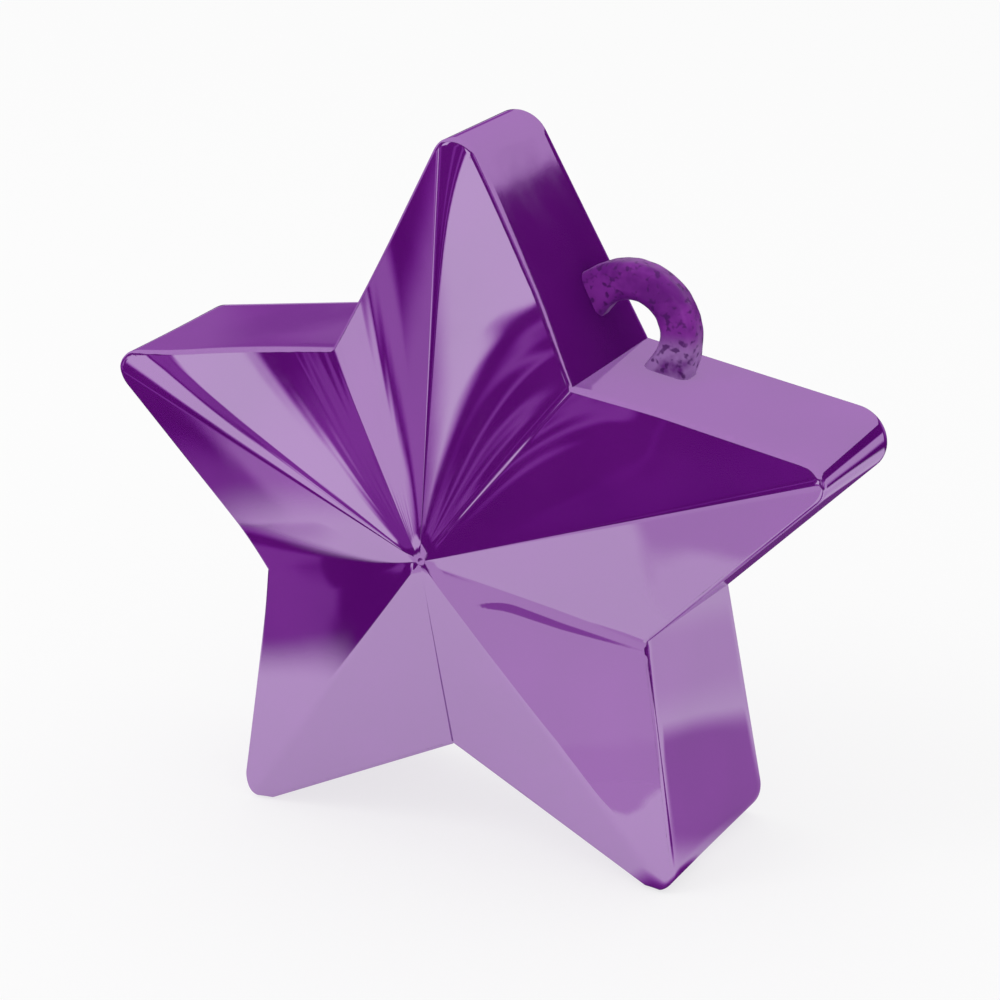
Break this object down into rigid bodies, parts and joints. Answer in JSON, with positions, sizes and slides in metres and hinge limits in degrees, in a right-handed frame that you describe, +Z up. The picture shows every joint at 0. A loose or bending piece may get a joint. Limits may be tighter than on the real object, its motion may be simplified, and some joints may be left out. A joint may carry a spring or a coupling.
{
  "type": "balloon weight",
  "caption": "Free-standing faceted star balloon weight in mirror-finish plated plastic, with a ribbon loop in a notch, a seated back cover and a cast filling.",
  "frame": {"origin": "on the floor, under the middle of the overall box", "axes": "+Z up, the faceted front faces -Y, the loop is on the +X side"},
  "size_m": [0.0986, 0.0354, 0.0936],
  "materials": {
    "plated_star": "mirror-plated purple",
    "plated_cover": "mirror-plated purple",
    "plated_loop": "mottled plated purple",
    "plug": "glossy purple",
    "filling": "cast, matt"
  },
  "bodies": {
    "root": {"front_shell": "plated_star", "back_cover": "plated_cover", "ribbon_loop": "plated_loop", "filler_plug": "plug", "ballast": "filling"}
  },
  "joints": []
}
